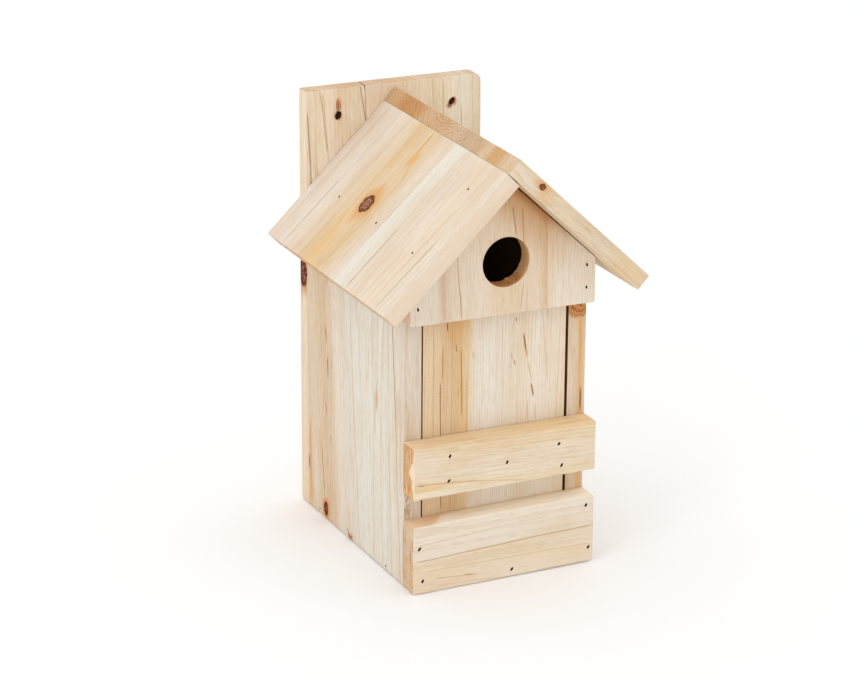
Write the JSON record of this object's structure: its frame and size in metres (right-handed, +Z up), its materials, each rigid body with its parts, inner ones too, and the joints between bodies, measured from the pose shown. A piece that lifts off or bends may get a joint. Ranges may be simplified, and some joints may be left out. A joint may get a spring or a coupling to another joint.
{
  "type": "birdhouse",
  "caption": "Gabled wooden nest box on a tall back board, with a round entrance hole and a slatted front that lifts out for cleaning.",
  "frame": {"origin": "on the ground plane, under the centre of the smallest upright box around the whole nest box", "axes": "+Z up; -Y is the front, where the entrance hole is; +Y is the wall side; +X is right as seen from the front"},
  "size_m": [0.16, 0.166, 0.25],
  "materials": {
    "back_wood": "bare sawn softwood with torn drill holes",
    "side_wood": "bare planed softwood",
    "gable_wood": "bare planed softwood",
    "door_wood": "bare planed softwood with a warm heartwood band",
    "slat_wood": "bare sawn softwood",
    "roof_wood": "bare planed softwood with a knot",
    "brad_steel": "dull wire"
  },
  "bodies": {
    "house": {"back_board": "back_wood", "brad_back_1": "brad_steel", "brad_back_2": "brad_steel", "brad_back_3": "brad_steel", "brad_back_4": "brad_steel", "brad_back_5": "brad_steel", "brad_back_6": "brad_steel", "brad_back_7": "brad_steel", "brad_back_8": "brad_steel", "brad_floor_left_1": "brad_steel", "brad_floor_left_2": "brad_steel", "brad_floor_right_1": "brad_steel", "brad_floor_right_2": "brad_steel", "brad_gable_1": "brad_steel", "brad_gable_2": "brad_steel", "brad_gable_3": "brad_steel", "brad_gable_4": "brad_steel", "brad_lower_slat_1": "brad_steel", "brad_lower_slat_2": "brad_steel", "brad_lower_slat_3": "brad_steel", "brad_lower_slat_4": "brad_steel", "brad_lower_slat_5": "brad_steel", "brad_ridge_1": "brad_steel", "brad_ridge_2": "brad_steel", "brad_ridge_3": "brad_steel", "brad_roof_left_1": "brad_steel", "brad_roof_left_2": "brad_steel", "brad_roof_left_3": "brad_steel", "brad_roof_left_4": "brad_steel", "brad_roof_right_1": "brad_steel", "brad_roof_right_2": "brad_steel", "brad_roof_right_3": "brad_steel", "brad_roof_right_4": "brad_steel", "floor_board": "side_wood", "gable_front": "gable_wood", "left_side": "side_wood", "lower_slat": "slat_wood", "right_side": "side_wood", "roof_left": "roof_wood", "roof_right": "roof_wood"},
    "door": {"door_panel": "door_wood", "handle_slat": "slat_wood", "brad_handle_1": "brad_steel", "brad_handle_2": "brad_steel", "brad_handle_3": "brad_steel", "brad_handle_4": "brad_steel", "brad_handle_5": "brad_steel"}
  },
  "joints": [
    {"name": "door_lift", "type": "slide", "parent": "house", "child": "door", "axis": [0, 0, 1], "range_m": [0, 0.0305]}
  ]
}
